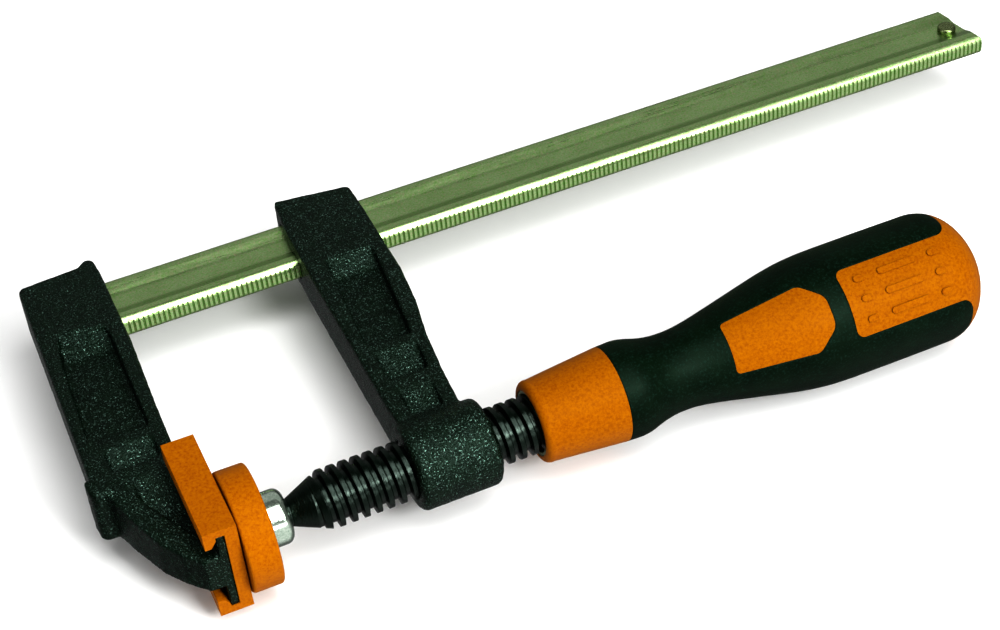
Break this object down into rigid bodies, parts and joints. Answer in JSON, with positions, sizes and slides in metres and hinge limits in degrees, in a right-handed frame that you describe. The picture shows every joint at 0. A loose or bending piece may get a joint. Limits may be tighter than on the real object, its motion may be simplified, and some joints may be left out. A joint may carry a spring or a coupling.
{
  "type": "bar clamp",
  "caption": "Bar clamp with a toothed rail, a fixed arm, a sliding arm, a screw with a two-colour handle, and a swivel pad facing a plastic jaw cap.",
  "frame": {"origin": "centre of the fixed jaw's pressure face, on the screw's axis", "axes": "+X along the rail towards its free end, +Z square to the arms' broad faces, -Y from the rail towards the screw"},
  "size_m": [0.3446, 0.1481, 0.0416],
  "materials": {
    "rail_steel": "cold-drawn, dull plated",
    "pin_steel": "plain",
    "arm_paint": "textured dark green enamel on cast iron",
    "cap_plastic": "moulded orange",
    "screw_black": "rolled thread, burnished black",
    "pad_steel": "bright zinc",
    "handle_plastic": "moulded orange",
    "grip_rubber": "soft dark green overmould"
  },
  "bodies": {
    "bar_frame": {"bar": "rail_steel", "bar_stop_pin": "pin_steel", "fixed_arm": "arm_paint", "jaw_cap": "cap_plastic"},
    "sliding_arm": {"sliding_arm": "arm_paint"},
    "screw_carrier": {"thrust_disc": "pin_steel"},
    "spindle": {"spindle": "screw_black", "handle_core": "handle_plastic", "handle_grip": "grip_rubber", "handle_bush": "pin_steel"},
    "pad_ring": {"retaining_ring": "pin_steel"},
    "swivel_pad": {"swivel_plate": "pad_steel", "pad_cap": "cap_plastic"}
  },
  "joints": [
    {"name": "arm_slide", "type": "slide", "parent": "bar_frame", "child": "sliding_arm", "axis": [1, 0, 0], "range_m": [0, 0.2168]},
    {"name": "screw_feed", "type": "slide", "parent": "sliding_arm", "child": "screw_carrier", "axis": [1, 0.0096, 0], "range_m": [0, 0.0362]},
    {"name": "screw_turn", "type": "hinge", "parent": "screw_carrier", "child": "spindle", "pos_m": [0.012, 0, 0], "axis": [1, 0.0096, 0], "range_deg": [0, 3420]},
    {"name": "pad_tilt", "type": "hinge", "parent": "screw_carrier", "child": "pad_ring", "pos_m": [0.012, 0, 0], "axis": [0, 0, 1], "range_deg": [-1.4, 1.4]},
    {"name": "pad_spin", "type": "hinge", "parent": "pad_ring", "child": "swivel_pad", "pos_m": [0.012, 0, 0], "axis": [1, 0, 0], "continuous": true}
  ],
  "couplings": [
    {"joint": "screw_feed", "follows": "screw_turn", "m_per_rad": 0.00060479}
  ]
}
